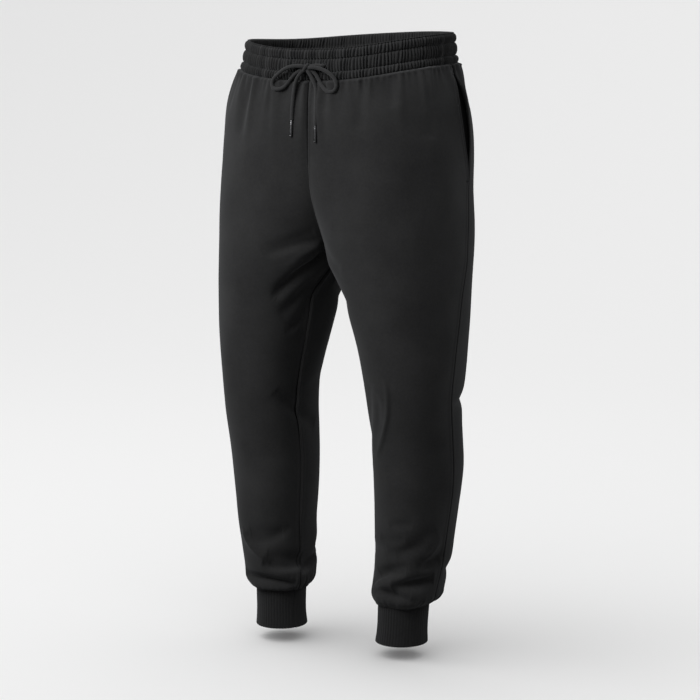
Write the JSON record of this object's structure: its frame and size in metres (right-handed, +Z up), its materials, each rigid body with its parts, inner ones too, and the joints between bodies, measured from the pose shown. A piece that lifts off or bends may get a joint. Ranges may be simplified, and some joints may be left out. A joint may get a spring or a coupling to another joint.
{
  "type": "jogger sweatpants",
  "caption": "Fleece jogger sweatpants, filled out as worn, with a gathered elastic waist, drawstring bow, side pockets and ribbed ankle cuffs.",
  "frame": {"origin": "the middle of the waist opening, at the height of the rim's middle", "axes": "+Z up out of the waist, the wearer faces -Y, +X is the wearer's left; the longest extent is along Z"},
  "size_m": [0.446, 0.2921, 1.0182],
  "materials": {
    "fleece": "brushed black cotton fleece, matt with a soft nap",
    "pocket_jersey": "plain black cotton jersey",
    "rib_knit": "black rib knit, matt",
    "cord": "braided black cotton cord",
    "thread": "black polyester sewing thread",
    "gunmetal": "dark gunmetal plating, smooth"
  },
  "bodies": {
    "root": {"waistband": "fleece", "front_left": "fleece", "front_right": "fleece", "back_left": "fleece", "back_right": "fleece", "pocket_left": "pocket_jersey", "pocket_right": "pocket_jersey", "cuff_left": "rib_knit", "cuff_right": "rib_knit", "eyelet_left": "thread", "eyelet_right": "thread", "bow_knot": "cord", "string_lead_left": "cord", "string_loop_left": "cord", "string_tail_left": "cord", "string_lead_right": "cord", "string_loop_right": "cord", "string_tail_right": "cord", "aglet_left": "gunmetal", "aglet_right": "gunmetal"}
  },
  "joints": []
}
